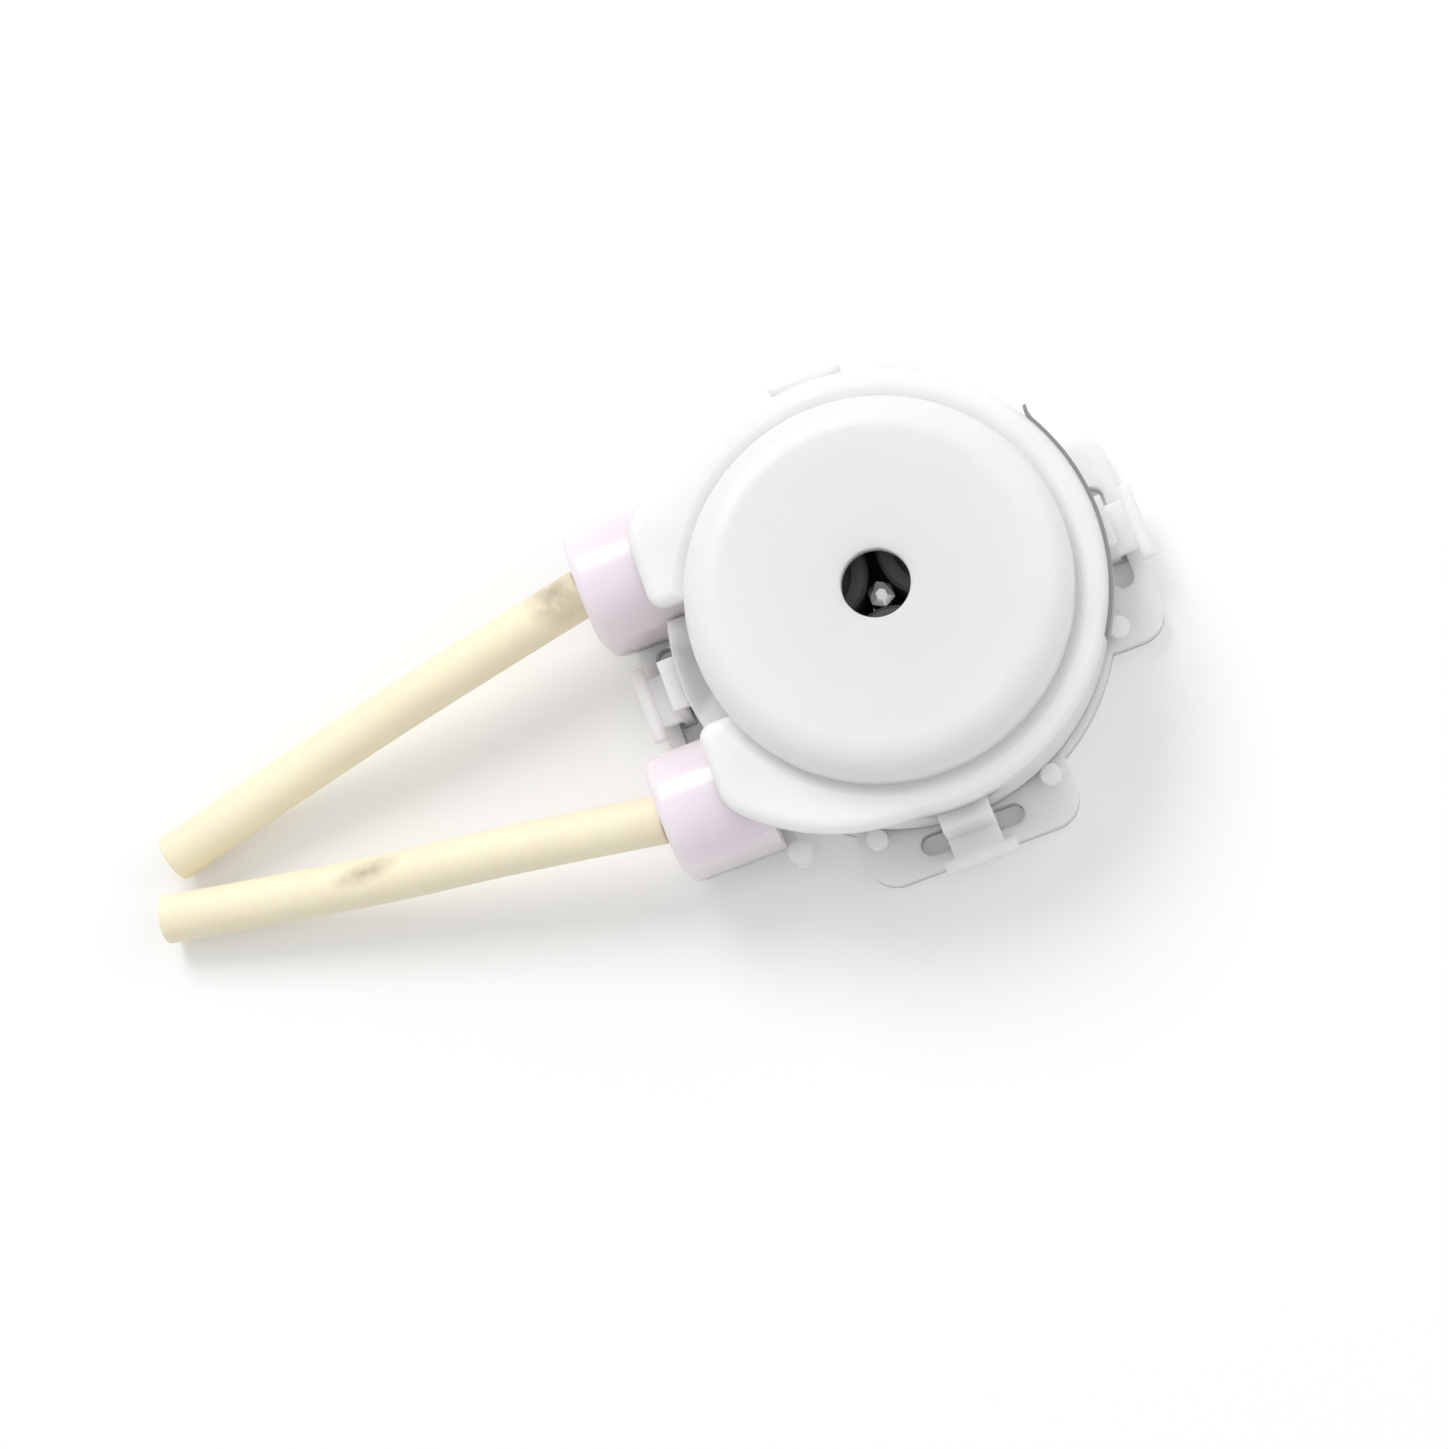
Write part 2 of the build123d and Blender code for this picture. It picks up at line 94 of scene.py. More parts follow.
# Painted shade on the dome over the dark rotor: centre and size of its round patch, and the tint it
# multiplies the colour by.
PAINTED_ROTOR_SHADE_CENTRE, PAINTED_ROTOR_SHADE_SIZE = (0.0012, -0.0028, 0.018), (0.0145, 0.0145, 0.0145)
PAINTED_ROTOR_SHADE_TINT = (0.86, 0.86, 0.86, 1.0)
METAL_EDGE = 0.03 * MM
PLASTIC_IOR = 1.49

TABLE_HALF_SIZE = 1.6
TABLE_SQUARES = 8
TABLE_COLOUR = (0.92, 0.92, 0.92, 1.0)
TABLE_ROUGHNESS = 0.12
TABLE_LIFT = 0.06
KEY_PLACE, KEY_SIZE = (-0.24, 1.10, 1.25), 0.9
FILL_PLACE, FILL_SIZE = (1.11, 0.13, 0.70), 1.2
CAMERA_PLACE = (0.0083532, -0.0716602, 0.3690849)
CAMERA_TURN = (math.radians(8.626368), math.radians(7.140760), math.radians(-19.830819))
CAMERA_NEAREST = 0.01


# ---------------------------------------------------------------- sizes and colours
class PumpHeadSizes(bpy.types.PropertyGroup):
    """Sizes of the tubes, the spindle and the leaf spring"""

    tube_outside: bpy.props.FloatProperty(
        name="Tube Outside", description="Outside diameter of the flexible tube",
        default=4.0 * MM, unit="LENGTH")
    tube_bore: bpy.props.FloatProperty(
        name="Tube Bore", description="Inside diameter of the flexible tube",
        default=2.0 * MM, unit="LENGTH")
    tube_sides: bpy.props.IntProperty(
        name="Tube Sides", description="Number of sides round each tube",
        default=48, min=12, max=96)
    tube_edge: bpy.props.FloatProperty(
        name="Cut Edge", description="Rounding of the tube's cut end",
        default=0.12 * MM, unit="LENGTH")
    spindle_radius: bpy.props.FloatProperty(
        name="Spindle Radius", description="Radius of the spindle's neck and of its six-sided nose",
        default=1.15 * MM, unit="LENGTH")
    spindle_slope: bpy.props.FloatProperty(
        name="Nose Slope", description="Height of the shallow point on the spindle's nose",
        default=0.22 * MM, unit="LENGTH")
    rim_radius: bpy.props.FloatProperty(
        name="Rim Radius", description="Radius of the cover's rim, inside the leaf spring",
        default=17.9 * MM, unit="LENGTH")
    spring_thickness: bpy.props.FloatProperty(
        name="Spring Thickness", description="Thickness of the leaf spring",
        default=0.3 * MM, unit="LENGTH")
    spring_bottom: bpy.props.FloatProperty(
        name="Spring Bottom", description="Height of the leaf spring's lower edge above the table",
        default=11.3 * MM, unit="LENGTH")
    spring_height: bpy.props.FloatProperty(
        name="Spring Height", description="Height of the leaf spring's strip",
        default=2.6 * MM, unit="LENGTH")
    spring_start: bpy.props.FloatProperty(
        name="Spring Start", description="Angle of the leaf spring's plain end round the rim",
        default=math.radians(-32.0), unit="ROTATION")
    spring_end: bpy.props.FloatProperty(
        name="Spring End", description="Angle at which the leaf spring bends away from the rim",
        default=math.radians(28.0), unit="ROTATION")
    flare_radius: bpy.props.FloatProperty(
        name="Flare Radius", description="Radius of the outward bend at the spring's upper end",
        default=2.2 * MM, unit="LENGTH")
    flare_angle: bpy.props.FloatProperty(
        name="Flare Angle", description="How far the spring's upper end turns outward",
        default=math.radians(38.0), unit="ROTATION")


class PumpHeadColours(bpy.types.PropertyGroup):
    """Colours of the plastics, the tube and the steels"""

    shell: bpy.props.FloatVectorProperty(
        name="Shell", description="Moulded white of the domed cover",
        default=(0.95, 0.95, 0.952, 1.0), subtype="COLOR", size=4, min=0.0, max=1.0)
    housing: bpy.props.FloatVectorProperty(
        name="Housing", description="Moulded white of the housing, its latches and its plate",
        default=(0.96, 0.96, 0.963, 1.0), subtype="COLOR", size=4, min=0.0, max=1.0)
    collar: bpy.props.FloatVectorProperty(
        name="Collar", description="Pale pink of the tube collars",
        default=(0.93, 0.84, 0.90, 1.0), subtype="COLOR", size=4, min=0.0, max=1.0)
    tube: bpy.props.FloatVectorProperty(
        name="Tube", description="Cream of the flexible tube",
        default=(0.97, 0.88, 0.66, 1.0), subtype="COLOR", size=4, min=0.0, max=1.0)
    roller: bpy.props.FloatVectorProperty(
        name="Roller", description="Black of the rollers and their carrier",
        default=(0.12, 0.12, 0.123, 1.0), subtype="COLOR", size=4, min=0.0, max=1.0)
    steel: bpy.props.FloatVectorProperty(
        name="Steel", description="Bright steel of the spindle and the roller pins",
        default=(0.86, 0.86, 0.87, 1.0), subtype="COLOR", size=4, min=0.0, max=1.0)
    strip: bpy.props.FloatVectorProperty(
        name="Strip", description="Darker steel of the leaf spring",
        default=(0.34, 0.34, 0.35, 1.0), subtype="COLOR", size=4, min=0.0, max=1.0)


class PumpHeadStudio(bpy.types.PropertyGroup):
    """Lights and lens of the studio"""

    key_power: bpy.props.FloatProperty(
        name="Key Light", description="Power of the large soft light",
        default=12.0, min=0.0, unit="POWER")
    fill_power: bpy.props.FloatProperty(
        name="Fill Light", description="Power of the opposite light",
        default=2.2, min=0.0, unit="POWER")
    world_level: bpy.props.FloatProperty(
        name="Surroundings", description="Brightness of the surroundings", default=0.70, min=0.0)
    lens: bpy.props.FloatProperty(
        name="Lens", description="Focal length of the camera in millimetres",
        default=114.98, min=1.0)


# ---------------------------------------------------------------- nodes
def noise(tree, place, detail, scale=None):
    """Noise on the piece's own coordinates. Its scale is set here or linked later."""
    texture = tree.nodes.new("ShaderNodeTexNoise")
    texture.inputs["Detail"].default_value = detail
    if scale is not None:
        texture.inputs["Scale"].default_value = scale
    tree.links.new(place.outputs["Object"], texture.inputs["Vector"])
    return texture


def spread_out(tree, texture, limits):
    """Spreads the part of a noise between two limits out from nothing to one."""
    node = tree.nodes.new("ShaderNodeMapRange")
    node.inputs["From Min"].default_value, node.inputs["From Max"].default_value = limits
    tree.links.new(texture.outputs["Fac"], node.inputs["Value"])
    return node


def product(tree, first, second):
    """One value times another."""
    node = tree.nodes.new("ShaderNodeMath")
    node.operation = "MULTIPLY"
    tree.links.new(first, node.inputs[0])
    tree.links.new(second, node.inputs[1])
    return node.outputs[0]


def colour_mix(tree, factor, first, blend="MIX"):
    """Mix that starts from a first colour and goes to its socket B as the factor grows."""
    node = tree.nodes.new("ShaderNodeMix")
    node.data_type = "RGBA"
    node.blend_type = blend
    tree.links.new(factor, node.inputs["Factor"])
    tree.links.new(first, node.inputs["A"])
    return node


# ---------------------------------------------------------------- shader groups
def new_group(name, inputs, outputs):
    """Shader node group with named inputs (name, type, default) and outputs (name, type)."""
    group = bpy.data.node_groups.new(name, "ShaderNodeTree")
    for label, kind, default in inputs:
        socket = group.interface.new_socket(label, in_out="INPUT", socket_type=kind)
        socket.default_value = default
    for label, kind in outputs:
        group.interface.new_socket(label, in_out="OUTPUT", socket_type=kind)
    return group, group.nodes.new("NodeGroupInput"), group.nodes.new("NodeGroupOutput")


def moulded_grain():
    """Fine moulded grain: a small change in gloss and the height of a faint orange peel."""
    if "Moulded Grain" in bpy.data.node_groups:
        return bpy.data.node_groups["Moulded Grain"]
    group, entry, leave = new_group(
        "Moulded Grain",
        [("Size", "NodeSocketFloat", 0.25 * MM), ("Smoothest", "NodeSocketFloat", 0.25),
         ("Roughest", "NodeSocketFloat", 0.4)],
        [("Roughness", "NodeSocketFloat"), ("Height", "NodeSocketFloat")])
    place = group.nodes.new("ShaderNodeTexCoord")
    per_size = group.nodes.new("ShaderNodeMath")
    per_size.operation = "DIVIDE"
    per_size.inputs[0].default_value = 1.0
    group.links.new(entry.outputs["Size"], per_size.inputs[1])
    fine = noise(group, place, detail=3.0)
    group.links.new(per_size.outputs[0], fine.inputs["Scale"])
    gloss = spread_out(group, noise(group, place, detail=2.0, scale=GLOSS_SCALE), GLOSS_RANGE)
    group.links.new(entry.outputs["Smoothest"], gloss.inputs["To Min"])
    group.links.new(entry.outputs["Roughest"], gloss.inputs["To Max"])
    group.links.new(gloss.outputs["Result"], leave.inputs["Roughness"])
    group.links.new(fine.outputs["Fac"], leave.inputs["Height"])
    return group


def tint_drift():
    """Two close tints of one colour, mixed by broad soft clouds, with sparse darker specks."""
    if "Tint Drift" in bpy.data.node_groups:
        return bpy.data.node_groups["Tint Drift"]
    group, entry, leave = new_group(
        "Tint Drift",
        [("Light Tint", "NodeSocketColor", WHITE),
         ("Deep Tint", "NodeSocketColor", (0.9, 0.9, 0.9, 1.0)),
         ("Cloud Scale", "NodeSocketFloat", 90.0), ("Speck Amount", "NodeSocketFloat", 0.1)],
        [("Colour", "NodeSocketColor")])
    place = group.nodes.new("ShaderNodeTexCoord")
    clouds = noise(group, place, detail=3.0)
    group.links.new(entry.outputs["Cloud Scale"], clouds.inputs["Scale"])
    drift = colour_mix(group, spread_out(group, clouds, CLOUD_RANGE).outputs["Result"],
                       entry.outputs["Light Tint"])
    group.links.new(entry.outputs["Deep Tint"], drift.inputs["B"])
    specks = spread_out(group, noise(group, place, detail=2.0, scale=SPECK_SCALE), SPECK_RANGE)
    amount = product(group, specks.outputs["Result"], entry.outputs["Speck Amount"])
    speckled = colour_mix(group, amount, drift.outputs["Result"], blend="MULTIPLY")
    speckled.inputs["B"].default_value = SPECK_TINT
    group.links.new(speckled.outputs["Result"], leave.inputs["Colour"])
    return group


def place_group(tree, group, values):
    """Places a shader group in a material with its own values."""
    node = tree.nodes.new("ShaderNodeGroup")
    node.node_tree = group
    for label, value in values.items():
        node.inputs[label].default_value = value
    return node


# ---------------------------------------------------------------- finishes
def finish(name, colour, gloss, grain, bump, specks=0.05, deep=0.95, clouds=90.0,
           edge=0.18 * MM):
    """Material with a drifting tint, moulded grain and softened edges, and its shader node.

    gloss is its least and its greatest roughness, grain and bump are the size and the height
    of the fine grain, specks says how strongly the dark specks show, deep is the share of the
    colour that its deeper tint keeps, clouds is the scale of the drift between the two, and
    edge is how far sharp edges look rounded.
    """
    material = bpy.data.materials.new(name)
    material.use_nodes = True
    tree = material.node_tree
    shader = tree.nodes["Principled BSDF"]
    deeper = (colour[0] * deep, colour[1] * deep, colour[2] * deep, 1.0)
    tint = place_group(tree, tint_drift(), {
        "Light Tint": colour, "Deep Tint": deeper, "Cloud Scale": clouds, "Speck Amount": specks})
    tree.links.new(tint.outputs["Colour"], shader.inputs["Base Color"])
    surface = place_group(tree, moulded_grain(), {
        "Size": grain, "Smoothest": gloss[0], "Roughest": gloss[1]})
    tree.links.new(surface.outputs["Roughness"], shader.inputs["Roughness"])
    softened = tree.nodes.new("ShaderNodeBevel")
    softened.samples = 6
    softened.inputs["Radius"].default_value = edge
    relief = tree.nodes.new("ShaderNodeBump")
    relief.inputs["Strength"].default_value = 1.0
    relief.inputs["Distance"].default_value = bump
    tree.links.new(softened.outputs["Normal"], relief.inputs["Normal"])
    tree.links.new(surface.outputs["Height"], relief.inputs["Height"])
    tree.links.new(relief.outputs["Normal"], shader.inputs["Normal"])
    return material, shader


def let_light_in(shader, weight, reach, depth):
    """Lets light into a plastic: how much, how far red, green and blue go, and how deep."""
    shader.inputs["Subsurface Weight"].default_value = weight
    shader.inputs["Subsurface Radius"].default_value = reach
    shader.inputs["Subsurface Scale"].default_value = depth


def round_patch(material, centre, size):
    """Mask that falls softly from one at a centre to nothing at the edge of an ellipsoid."""
    nodes, links = material.node_tree.nodes, material.node_tree.links
    place = nodes.new("ShaderNodeTexCoord")
    fit = nodes.new("ShaderNodeMapping")
    fit.vector_type = "TEXTURE"
    fit.inputs["Location"].default_value = centre
    fit.inputs["Scale"].default_value = size
    links.new(place.outputs["Object"], fit.inputs["Vector"])
    patch = nodes.new("ShaderNodeTexGradient")
    patch.gradient_type = "SPHERICAL"
    links.new(fit.outputs["Vector"], patch.inputs["Vector"])
    return patch.outputs["Fac"]


def darken(material, shader, mask, tint):
    """Multiplies the base colour by a tint where the mask is one."""
    base = shader.inputs["Base Color"]
    mix = colour_mix(material.node_tree, mask, base.links[0].from_socket, blend="MULTIPLY")
    mix.inputs["B"].default_value = tint
    material.node_tree.links.new(mix.outputs["Result"], base)


def white_moulding(name, colour, depth):
    """White moulded plastic that lets light in to a depth."""
    material, shader = finish(name, colour, gloss=(0.30, 0.42), grain=0.25 * MM,
                              bump=0.002 * MM, specks=0.02, deep=0.985)
    let_light_in(shader, 0.9, (1.0, 0.97, 0.95), depth)
    shader.inputs["IOR"].default_value = PLASTIC_IOR
    return material, shader


def tube_finish(name, colour, dark_patch=None):
    """Matte cream elastomer, with a patchy darker patch of a given centre and size painted into its
    colour if asked.
    """
    material, shader = finish(name, colour, gloss=(0.50, 0.62), grain=0.35 * MM,
                              bump=0.004 * MM, specks=0.04, deep=0.97, clouds=120.0)
    if dark_patch:
        tree = material.node_tree
        patches = noise(tree, tree.nodes.new("ShaderNodeTexCoord"), 4.0, DARK_PATCH_SCALE)
        mask = product(tree, round_patch(material, *dark_patch), patches.outputs["Fac"])
        darken(material, shader, mask, DARK_PATCH_TINT)
    let_light_in(shader, 0.35, (1.0, 0.7, 0.4), 0.8 * MM)
    return material


def put_on(material, *nodes):
    """Gives pieces of the frame their material."""
    for node in nodes:
        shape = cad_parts[node].data
        shape.materials.clear()
        shape.materials.append(material)


# ---------------------------------------------------------------- mesh helpers
def mesh_object(name, shape, material):
    """Turns a bmesh into an object in the scene."""
    mesh = bpy.data.meshes.new(name)
    shape.to_mesh(mesh)
    shape.free()
    mesh.materials.append(material)
    item = bpy.data.objects.new(name, mesh)
    bpy.context.scene.collection.objects.link(item)
    return item


def new_piece(name, shape, material, body):
    """Turns a bmesh into a finished piece that rides on a body."""
    bmesh.ops.recalc_face_normals(shape, faces=shape.faces)
    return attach(mesh_object(name, shape, material), body)


def shade_smooth(shape):
    """Shades every face so far as part of one smooth surface."""
    for face in shape.faces:
        face.smooth = True


def ease(shape, edges, offset):
    """Rounds edges slightly."""
    bmesh.ops.bevel(shape, geom=edges, offset=offset, affect="EDGES", segments=2, profile=0.5,
                    material=-1)


def sharp_edges(shape):
    """Edges whose two faces meet at a sharp angle."""
    return [edge for edge in shape.edges if edge.calc_face_angle(0.0) > SHARP_ANGLE]


# ---------------------------------------------------------------- free tubes
def route_line(route):
    """Points along the smooth line that has the route's points as its control points."""
    curve = bpy.data.curves.new("route", "CURVE")
    curve.dimensions = "3D"
    curve.resolution_u = ROUTE_STEPS
    spline = curve.splines.new("NURBS")
    spline.points.add(len(route) - 1)
    for point, place in zip(spline.points, route):
        point.co = (place[0] * MM, place[1] * MM, place[2] * MM, 1.0)
    spline.order_u = 3
    spline.use_endpoint_u = True
    holder = bpy.data.objects.new("route", curve)
    mesh = bpy.data.meshes.new_from_object(holder)
    points = [vertex.co.copy() for vertex in mesh.vertices]
    bpy.data.meshes.remove(mesh)
    bpy.data.objects.remove(holder)
    bpy.data.curves.remove(curve)
    return points


def hollow_tube(points, outside, bore, edge, sides):
    """Hollow tube along the points, with square cut ends whose edges are slightly rounded."""
    shape = bmesh.new()
    stations = []
    for index, point in enumerate(points):
        before = points[max(index - 1, 0)]
        after = points[min(index + 1, len(points) - 1)]
        turn = (after - before).to_track_quat("Z", "Y").to_matrix().to_4x4()
        stations.append(Matrix.Translation(point) @ turn)
    bmesh.ops.create_circle(shape, cap_ends=True, segments=sides, radius=outside / 2,
                            matrix=stations[0])
    middle = shape.faces[:]
    wall = bmesh.ops.inset_region(shape, faces=middle, thickness=(outside - bore) / 2,
                                  use_boundary=True, use_even_offset=True)["faces"]
    bmesh.ops.delete(shape, geom=middle, context="FACES_ONLY")
    for index, (first, second) in enumerate(zip(stations, stations[1:])):
        grown = bmesh.ops.extrude_face_region(shape, geom=wall)["geom"]
        moved = [item for item in grown if isinstance(item, bmesh.types.BMVert)]
        bmesh.ops.transform(shape, verts=moved, matrix=second @ first.inverted())
        # The first ring of faces closes the tube's near end. Later ones lie inside its wall.
        if index > 0:
            bmesh.ops.delete(shape, geom=wall, context="FACES_ONLY")
        wall = [item for item in grown if isinstance(item, bmesh.types.BMFace)]
    loose = [item for item in shape.edges if item.is_wire]
    bmesh.ops.delete(shape, geom=loose, context="EDGES")
    bmesh.ops.recalc_face_normals(shape, faces=shape.faces)
    ease(shape, sharp_edges(shape), edge)
    shade_smooth(shape)
    return shape


class PUMPHEAD_OT_free_tubes(bpy.types.Operator):
    """Model the two free tube ends along their routes"""

    bl_idname = "pumphead.free_tubes"
    bl_label = "Free Tubes"

    def execute(self, context):
        sizes, colours = context.scene.pump_head_sizes, context.scene.pump_head_colours
        for side, route in TUBE_ROUTES.items():
            points = route_line(route)
            shape = hollow_tube(points, sizes.tube_outside, sizes.tube_bore, sizes.tube_edge,
                                sizes.tube_sides)
            material = tube_finish(f"cream_tube_{side}", colours.tube, TUBE_PAINTED_SHADE_AND_MARK[side])
            tube = new_piece(f"free_tube_{side}_soft", shape, material, "head")
            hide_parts(f"free_tube_{side}")
        return {"FINISHED"}


# ---------------------------------------------------------------- moulded shells
class PUMPHEAD_OT_shells(bpy.types.Operator):
    """Finish the domed cover, the housing, the mounting plate and its latches"""

    bl_idname = "pumphead.shells"
    bl_label = "Moulded Shells"

    def execute(self, context):
        colours = context.scene.pump_head_colours
        cover, shader = white_moulding("cover_white", colours.shell, depth=3.0 * MM)
        # Painted shade: the base colour darkens in a faint round patch where the dark rotor behind
        # the thin dome would dim the light coming through it.
        shade = round_patch(cover, PAINTED_ROTOR_SHADE_CENTRE, PAINTED_ROTOR_SHADE_SIZE)
        darken(cover, shader, shade, PAINTED_ROTOR_SHADE_TINT)
        put_on(cover, "front_cover")
        housing, _ = white_moulding("housing_white", colours.housing, depth=4.0 * MM)
        put_on(housing, "race_housing", "mounting_plate", "latch_right", "latch_top",
               "latch_left", "latch_bottom")
        return {"FINISHED"}


class PUMPHEAD_OT_collars(bpy.types.Operator):
    """Finish the two tube collars and the tube between them"""

    bl_idname = "pumphead.collars"
    bl_label = "Tube Collars"

    def execute(self, context):
        colours = context.scene.pump_head_colours
        pink, shader = finish("collar_pink", colours.collar, gloss=(0.18, 0.28), grain=0.3 * MM,
                              bump=0.002 * MM, specks=0.03)
        let_light_in(shader, 0.85, (1.0, 0.8, 0.92), 2.5 * MM)
        put_on(pink, "tube_collar_upper", "tube_collar_lower")
        put_on(tube_finish("cream_tube_inner", colours.tube), "pump_tube")
        return {"FINISHED"}


# ---------------------------------------------------------------- rotor and steel
class PUMPHEAD_OT_rotor(bpy.types.Operator):
    """Finish the rollers, their carrier, pins and the spindle's bearing"""

    bl_idname = "pumphead.rotor"
    bl_label = "Rotor"

    def execute(self, context):
        colours = context.scene.pump_head_colours
        black, _ = finish("roller_black", colours.roller, gloss=(0.30, 0.45), grain=0.15 * MM,
                          bump=0.002 * MM, specks=0.0, deep=0.8)
        put_on(black, "roller_1", "roller_2", "roller_3", "carrier_front", "carrier_rear",
               "spindle_bush")
        steel, shader = finish("bright_steel", colours.steel, gloss=(0.12, 0.22),
                               grain=0.08 * MM, bump=0.0006 * MM, specks=0.0, deep=0.93)
        shader.inputs["Metallic"].default_value = 1.0
        put_on(steel, "roller_pin_1", "roller_pin_2", "roller_pin_3")
        return {"FINISHED"}


def turned_spindle(radius, slope):
    """Spindle with a bored tail, a slender neck and a six-sided nose with a shallow point."""
    shape = bmesh.new()
    neck = [(radius / MM, NECK_BOTTOM), (radius / MM, NECK_TOP), (0.0, NECK_TOP)]
    corners = [shape.verts.new((across * MM, 0.0, up * MM)) for across, up in SPINDLE_TAIL + neck]
    outline = [shape.edges.new(pair) for pair in zip(corners, corners[1:])]
    bmesh.ops.spin(shape, geom=corners + outline, axis=(0.0, 0.0, 1.0), cent=(0.0, 0.0, 0.0),
                   angle=math.tau, steps=ROUND_STEPS, use_merge=True)
    bmesh.ops.remove_doubles(shape, verts=shape.verts, dist=DOUBLES_DISTANCE)
    shade_smooth(shape)
    # The nose keeps flat faces, so it comes after the smooth shading.
    shoulder = NOSE_TOP - slope
    nose = bmesh.ops.create_cone(
        shape, cap_ends=True, segments=NOSE_SIDES, radius1=radius, radius2=radius,
        depth=shoulder - NOSE_BOTTOM,
        matrix=Matrix.Translation((0.0, 0.0, (NOSE_BOTTOM + shoulder) / 2)))["verts"]
    faces = {face for corner in nose for face in corner.link_faces}
    top = max(faces, key=lambda face: face.calc_center_median().z)
    slopes = bmesh.ops.inset_region(shape, faces=[top], thickness=radius * NOSE_INSET,
                                    depth=0.0)["faces"]
    bmesh.ops.translate(shape, verts=top.verts, vec=(0.0, 0.0, slope))
    nose_edges = {edge for corner in nose for edge in corner.link_edges}
    nose_edges |= {edge for face in slopes for edge in face.edges}
    ease(shape, [edge for edge in shape.edges if edge in nose_edges], NOSE_EDGE)
    return shape


class PUMPHEAD_OT_spindle(bpy.types.Operator):
    """Model the polished drive spindle that shows between the rollers"""

    bl_idname = "pumphead.spindle"
    bl_label = "Drive Spindle"

    def execute(self, context):
        sizes, colours = context.scene.pump_head_sizes, context.scene.pump_head_colours
        shape = turned_spindle(sizes.spindle_radius, sizes.spindle_slope)
        polish, shader = finish("polished_spindle", colours.steel, gloss=(0.10, 0.20),
                                grain=0.08 * MM, bump=0.0004 * MM, specks=0.0, edge=METAL_EDGE)
        shader.inputs["Metallic"].default_value = 1.0
        spindle = new_piece("drive_spindle_polished", shape, polish, "spindle")
        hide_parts("drive_spindle")
        return {"FINISHED"}


# ---------------------------------------------------------------- leaf spring
def leaf_spring(sizes):
    """Strip clasped round the rim, with one end bent gently outward."""
    shape = bmesh.new()
    thickness, height, start = sizes.spring_thickness, sizes.spring_height, sizes.spring_start
    middle = (sizes.rim_radius + thickness / 2, 0.0, sizes.spring_bottom + height / 2)
    section = bmesh.ops.create_grid(shape, x_segments=1, y_segments=1, size=0.5)["verts"]
    bmesh.ops.delete(shape, geom=shape.faces[:], context="FACES_ONLY")
    bmesh.ops.scale(shape, verts=section, vec=(thickness, height, 1.0))
    bmesh.ops.rotate(shape, verts=section, cent=(0.0, 0.0, 0.0),
                     matrix=Matrix.Rotation(math.pi / 2, 3, "X"))
    bmesh.ops.translate(shape, verts=section, vec=middle)
    bmesh.ops.rotate(shape, verts=section, cent=(0.0, 0.0, 0.0),
                     matrix=Matrix.Rotation(start, 3, "Z"))
    clasp = bmesh.ops.spin(shape, geom=shape.verts[:] + shape.edges[:], axis=(0.0, 0.0, 1.0),
                           cent=(0.0, 0.0, 0.0), angle=sizes.spring_end - start,
                           steps=ROUND_STEPS)
    reach = sizes.rim_radius + thickness + sizes.flare_radius
    bend = (reach * math.cos(sizes.spring_end), reach * math.sin(sizes.spring_end), 0.0)
    bmesh.ops.spin(shape, geom=clasp["geom_last"], axis=(0.0, 0.0, 1.0), cent=bend,
                   angle=-sizes.flare_angle, steps=FLARE_STEPS)
    bmesh.ops.holes_fill(shape, edges=shape.edges[:])
    ease(shape, sharp_edges(shape), thickness * STRIP_EDGE)
    shade_smooth(shape)
    return shape


class PUMPHEAD_OT_spring(bpy.types.Operator):
    """Model the steel leaf spring on the cover's rim"""

    bl_idname = "pumphead.spring"
    bl_label = "Leaf Spring"

    def execute(self, context):
        sizes, colours = context.scene.pump_head_sizes, context.scene.pump_head_colours
        strip, shader = finish("strip_steel", colours.strip, gloss=(0.28, 0.40),
                               grain=0.10 * MM, bump=0.001 * MM, specks=0.02, edge=METAL_EDGE)
        shader.inputs["Metallic"].default_value = 1.0
        spring = new_piece("band_spring_strip", leaf_spring(sizes), strip, "head")
        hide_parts("band_spring")
        return {"FINISHED"}


# ---------------------------------------------------------------- studio
def area_light(name, place, size, power):
    """Round soft light aimed at the middle of the scene."""
    lamp = bpy.data.lights.new(name, "AREA")
    lamp.shape = "DISK"
    lamp.size = size
    lamp.energy = power
    holder = bpy.data.objects.new(name, lamp)
    bpy.context.scene.collection.objects.link(holder)
    holder.location = place
    holder.rotation_euler = (-Vector(place)).to_track_quat("-Z", "Y").to_euler()


def table_finish():
    """Glossy white table that looks a little lighter to the camera alone."""
    material = bpy.data.materials.new("white_table")
    material.use_nodes = True
    nodes, links = material.node_tree.nodes, material.node_tree.links
    shader = nodes["Principled BSDF"]
    shader.inputs["Base Color"].default_value = TABLE_COLOUR
    shader.inputs["Roughness"].default_value = TABLE_ROUGHNESS
    lift = nodes.new("ShaderNodeEmission")
    lift.inputs["Color"].default_value = WHITE
    path = nodes.new("ShaderNodeLightPath")
    strength = nodes.new("ShaderNodeMath")
    strength.operation = "MULTIPLY"
    strength.inputs[1].default_value = TABLE_LIFT
    links.new(path.outputs["Is Camera Ray"], strength.inputs[0])
    links.new(strength.outputs[0], lift.inputs["Strength"])
    both = nodes.new("ShaderNodeAddShader")
    links.new(shader.outputs["BSDF"], both.inputs[0])
    links.new(lift.outputs["Emission"], both.inputs[1])
    links.new(both.outputs["Shader"], nodes["Material Output"].inputs["Surface"])
    return material


def studio_camera(lens):
    """Camera that looks down on the head at its viewing angle."""
    camera = bpy.data.cameras.new("camera")
    camera.lens = lens
    camera.sensor_width = 36.0
    camera.sensor_fit = "HORIZONTAL"
    camera.clip_start = CAMERA_NEAREST
    holder = bpy.data.objects.new("camera", camera)
    bpy.context.scene.collection.objects.link(holder)
    holder.location = CAMERA_PLACE
    holder.rotation_euler = CAMERA_TURN
    return holder


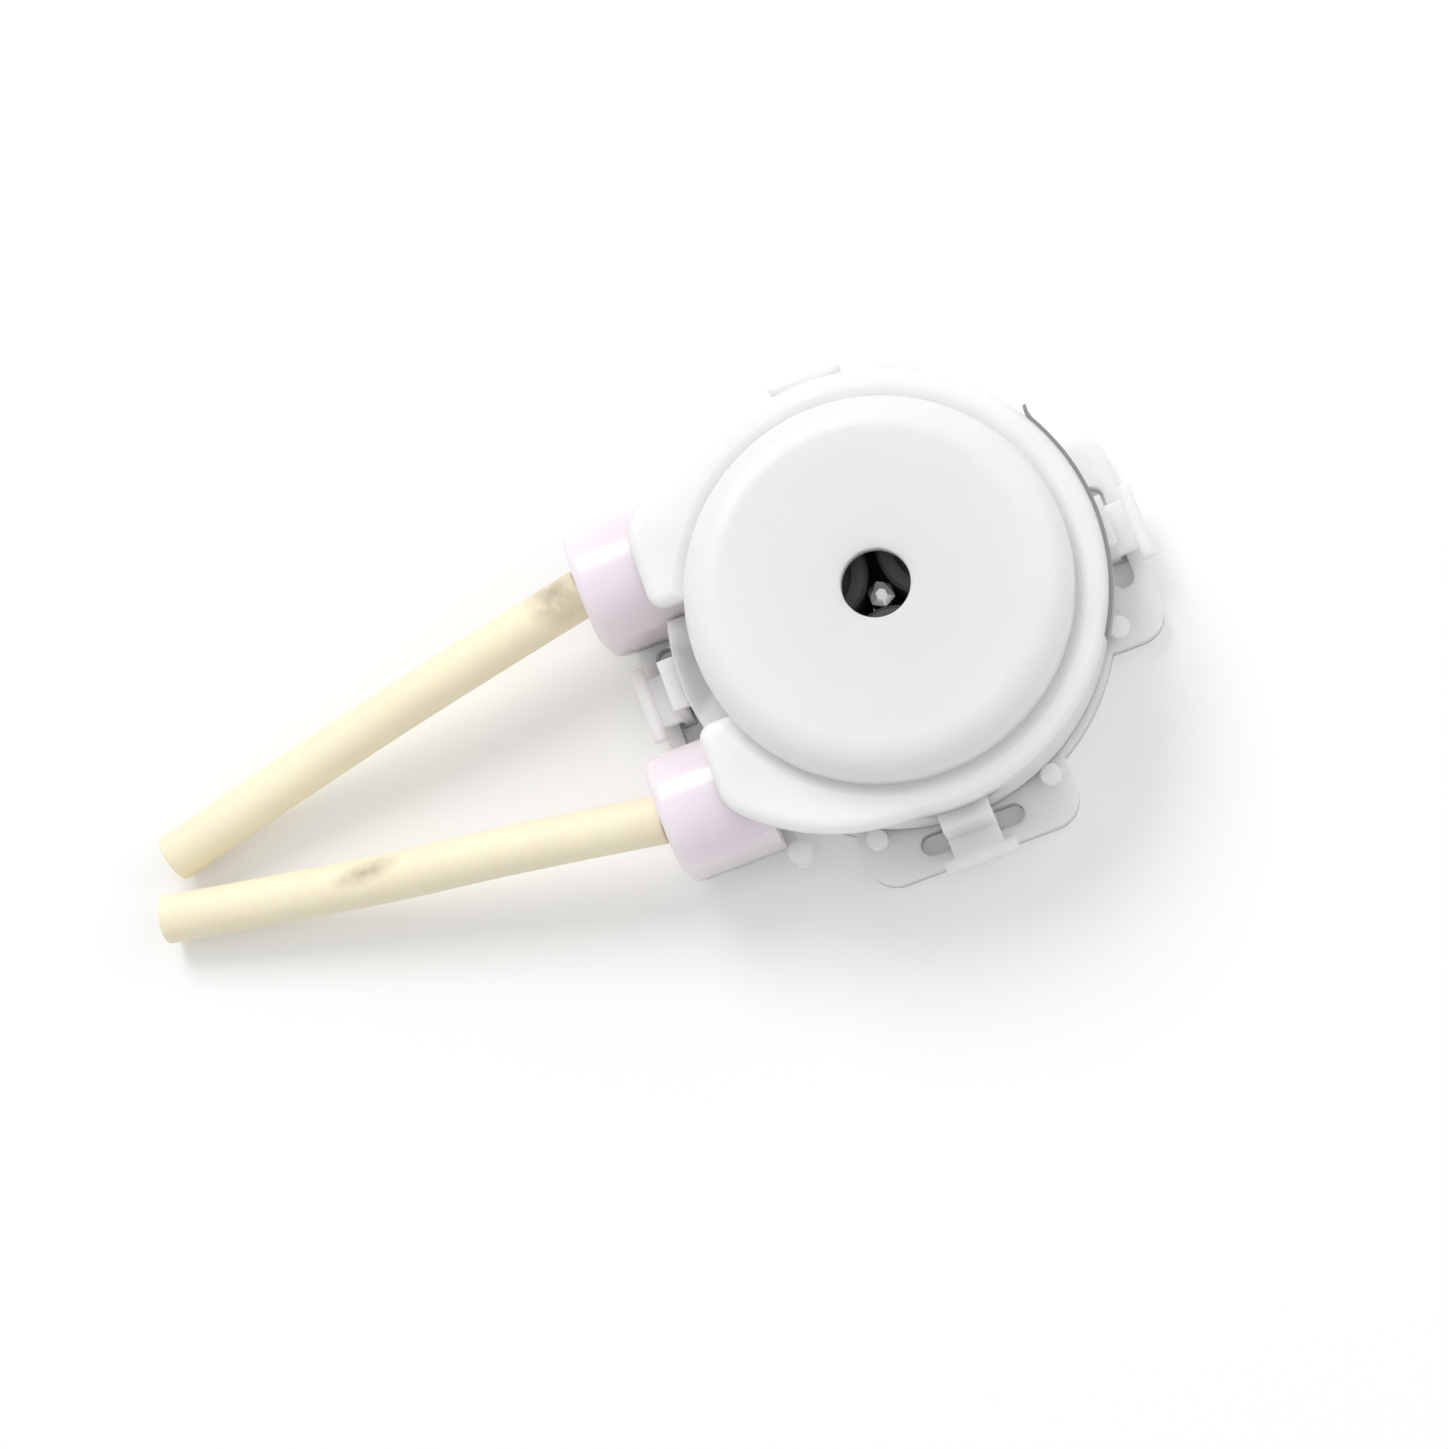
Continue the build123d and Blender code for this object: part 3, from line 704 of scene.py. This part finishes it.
class PUMPHEAD_OT_stage(bpy.types.Operator):
    """Set up the white table, the soft lights and the camera"""

    bl_idname = "pumphead.stage"
    bl_label = "Studio Stage"

    def execute(self, context):
        studio = context.scene.pump_head_studio
        top = bmesh.new()
        bmesh.ops.create_grid(top, x_segments=TABLE_SQUARES, y_segments=TABLE_SQUARES,
                              size=TABLE_HALF_SIZE)
        mesh_object("table", top, table_finish())
        area_light("key_light", KEY_PLACE, KEY_SIZE, studio.key_power)
        area_light("fill_light", FILL_PLACE, FILL_SIZE, studio.fill_power)
        world = bpy.data.worlds.new("studio_surroundings")
        world.use_nodes = True
        background = world.node_tree.nodes["Background"]
        background.inputs["Color"].default_value = WHITE
        background.inputs["Strength"].default_value = studio.world_level
        context.scene.world = world
        context.scene.camera = studio_camera(studio.lens)
        context.scene.view_settings.view_transform = "Standard"
        return {"FINISHED"}


class PUMPHEAD_PT_panel(bpy.types.Panel):
    """Lists the pump head's pieces and settings"""

    bl_idname = "PUMPHEAD_PT_panel"
    bl_label = "Pump Head"
    bl_space_type = "VIEW_3D"
    bl_region_type = "UI"
    bl_category = "Pump Head"

    def draw(self, context):
        for operator in OPERATORS:
            self.layout.operator(operator.bl_idname)
        scene = context.scene
        for group in (scene.pump_head_sizes, scene.pump_head_colours, scene.pump_head_studio):
            column = self.layout.column()
            for name in group.__annotations__:
                column.prop(group, name)


GROUPS = (PumpHeadSizes, PumpHeadColours, PumpHeadStudio)
OPERATORS = (PUMPHEAD_OT_shells, PUMPHEAD_OT_collars, PUMPHEAD_OT_rotor, PUMPHEAD_OT_spindle,
             PUMPHEAD_OT_spring, PUMPHEAD_OT_free_tubes, PUMPHEAD_OT_stage)
CLASSES = (*GROUPS, *OPERATORS, PUMPHEAD_PT_panel)


def register():
    """Adds the settings, the operators and the panel."""
    for item in CLASSES:
        bpy.utils.register_class(item)
    bpy.types.Scene.pump_head_sizes = bpy.props.PointerProperty(type=PumpHeadSizes)
    bpy.types.Scene.pump_head_colours = bpy.props.PointerProperty(type=PumpHeadColours)
    bpy.types.Scene.pump_head_studio = bpy.props.PointerProperty(type=PumpHeadStudio)


def unregister():
    """Takes away what register added."""
    del bpy.types.Scene.pump_head_sizes
    del bpy.types.Scene.pump_head_colours
    del bpy.types.Scene.pump_head_studio
    for item in reversed(CLASSES):
        bpy.utils.unregister_class(item)


def main():
    """Builds every piece in order."""
    register()
    bpy.ops.pumphead.shells()
    bpy.ops.pumphead.collars()
    bpy.ops.pumphead.rotor()
    bpy.ops.pumphead.spindle()
    bpy.ops.pumphead.spring()
    bpy.ops.pumphead.free_tubes()
    bpy.ops.pumphead.stage()


if __name__ == "__main__":
    main()
